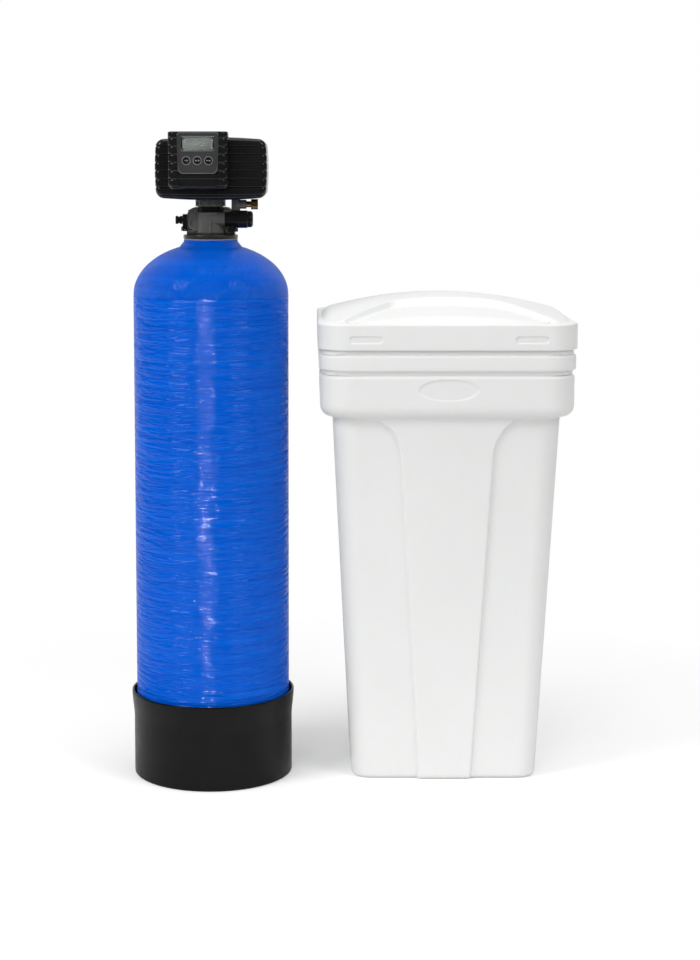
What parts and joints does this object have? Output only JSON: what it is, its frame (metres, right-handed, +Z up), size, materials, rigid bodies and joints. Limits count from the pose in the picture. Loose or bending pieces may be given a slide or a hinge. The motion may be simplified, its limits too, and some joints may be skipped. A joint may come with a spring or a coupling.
{
  "type": "water softener",
  "caption": "Domestic water softener: blue resin vessel in a black boot with a motor-driven control valve and keypad display, beside a white lidded brine tank.",
  "frame": {"origin": "the pressure vessel's axis on the floor, at the middle of its boot", "axes": "+Z up, +X to the right towards the brine tank, +Y to the back, so the display faces -Y"},
  "size_m": [0.736, 0.452, 1.0736],
  "materials": {
    "boot_black": "satin moulded polyethylene",
    "vessel_blue": "gloss wound fibreglass",
    "liner_white": "moulded, unpainted",
    "gasket_buff": "soft",
    "gravel": "washed quartz gravel",
    "resin_amber": "small beads",
    "valve_black": "glass filled moulding",
    "seal_rubber": "soft",
    "piston_brown": "smooth",
    "steel": "plain",
    "brass": "machined",
    "knob_black": "satin",
    "frame_black": "glass filled moulding",
    "gear_white": "acetal",
    "cover_black": "semi-gloss moulding",
    "faceplate_grey": "satin",
    "ring_grey": "satin",
    "lens_clear": "clear moulding",
    "display_green": "liquid crystal panel",
    "board_green": "lacquered",
    "tank_white": "satin moulded polyethylene",
    "well_white": "moulded"
  },
  "bodies": {
    "softener": {"vessel_boot": "boot_black", "vessel_shell": "vessel_blue", "vessel_liner": "liner_white", "neck_insert": "liner_white", "neck_gasket": "gasket_buff", "gravel_bed": "gravel", "resin_bed": "resin_amber", "riser_tube": "liner_white", "bottom_basket": "liner_white", "top_basket": "liner_white", "valve_body": "valve_black", "piston_seals": "seal_rubber", "end_plug": "valve_black", "plug_retainer": "valve_black", "injector_housing": "valve_black", "injector_cap": "valve_black", "injector_nozzle": "liner_white", "injector_plug": "valve_black", "brine_valve_body": "valve_black", "brine_stem_spring": "steel", "brine_fitting": "brass", "brine_nut": "brass", "mixing_plate": "valve_black", "port_yoke": "valve_black", "port_seals": "seal_rubber", "yoke_clips": "steel", "turbine_support": "liner_white", "drain_fitting": "valve_black", "head_frame": "frame_black", "drive_motor": "steel", "position_switch": "knob_black", "back_panel": "cover_black", "power_gland": "knob_black", "small_screws": "steel", "head_cover": "cover_black", "display_housing": "cover_black", "faceplate": "faceplate_grey", "button_rings": "ring_grey", "display_lens": "lens_clear", "display_module": "display_green", "circuit_board": "board_green", "brine_tank": "tank_white", "brine_well": "well_white", "salt_grid": "well_white", "safety_valve": "well_white", "overflow_elbow": "valve_black", "overflow_nut": "valve_black", "line_grommet": "seal_rubber"},
    "lid": {"brine_lid": "tank_white"},
    "well_cap_body": {"well_cap": "well_white"},
    "float_body": {"brine_float": "well_white"},
    "cycle_key": {"cycle_button": "knob_black"},
    "down_key": {"down_button": "knob_black"},
    "up_key": {"up_button": "knob_black"},
    "mixing_screw": {"mixing_knob": "knob_black"},
    "gear": {"main_gear": "gear_white"},
    "pinion": {"motor_pinion": "gear_white"},
    "piston_rod": {"piston": "piston_brown"},
    "brine_plunger": {"brine_stem": "steel"},
    "turbine": {"meter_turbine": "knob_black"}
  },
  "joints": [
    {"name": "lid_lift", "type": "slide", "parent": "softener", "child": "lid", "axis": [0, 0, 1], "range_m": [0, 0.25]},
    {"name": "well_cap_lift", "type": "slide", "parent": "softener", "child": "well_cap_body", "axis": [0, 0, 1], "range_m": [0, 0.025]},
    {"name": "float_rise", "type": "slide", "parent": "softener", "child": "float_body", "axis": [0, 0, 1], "range_m": [0, 0.06]},
    {"name": "cycle_press", "type": "slide", "parent": "softener", "child": "cycle_key", "axis": [0, 1, 0], "range_m": [0, 0.001], "stiffness_N_per_m": 900},
    {"name": "down_press", "type": "slide", "parent": "softener", "child": "down_key", "axis": [0, 1, 0], "range_m": [0, 0.001], "stiffness_N_per_m": 900},
    {"name": "up_press", "type": "slide", "parent": "softener", "child": "up_key", "axis": [0, 1, 0], "range_m": [0, 0.001], "stiffness_N_per_m": 900},
    {"name": "mixing_turn", "type": "hinge", "parent": "softener", "child": "mixing_screw", "pos_m": [-0.05, 0.012, 0.9297], "axis": [-1, 0, 0], "range_deg": [0, 720]},
    {"name": "gear_turn", "type": "hinge", "parent": "softener", "child": "gear", "pos_m": [0, 0.009, 1.016], "axis": [0, -1, 0], "range_deg": [0, 180]},
    {"name": "pinion_turn", "type": "hinge", "parent": "softener", "child": "pinion", "pos_m": [0.0377, 0.009, 1.016], "axis": [0, -1, 0], "range_deg": [-721, 1]},
    {"name": "piston_lift", "type": "slide", "parent": "softener", "child": "piston_rod", "axis": [0, 0, 1], "range_m": [0, 0.0142]},
    {"name": "brine_stem_press", "type": "slide", "parent": "softener", "child": "brine_plunger", "axis": [0, 0, -1], "range_m": [0, 0.004], "stiffness_N_per_m": 600, "deforming": ["brine_stem_spring"]},
    {"name": "turbine_spin", "type": "hinge", "parent": "softener", "child": "turbine", "pos_m": [0.019, 0.0577, 0.928], "axis": [0, 1, 0], "continuous": true}
  ],
  "couplings": [
    {"joint": "pinion_turn", "follows": "gear_turn", "ratio": -4},
    {"joint": "piston_lift", "follows": "gear_turn", "m_per_rad": 0.0044563}
  ]
}
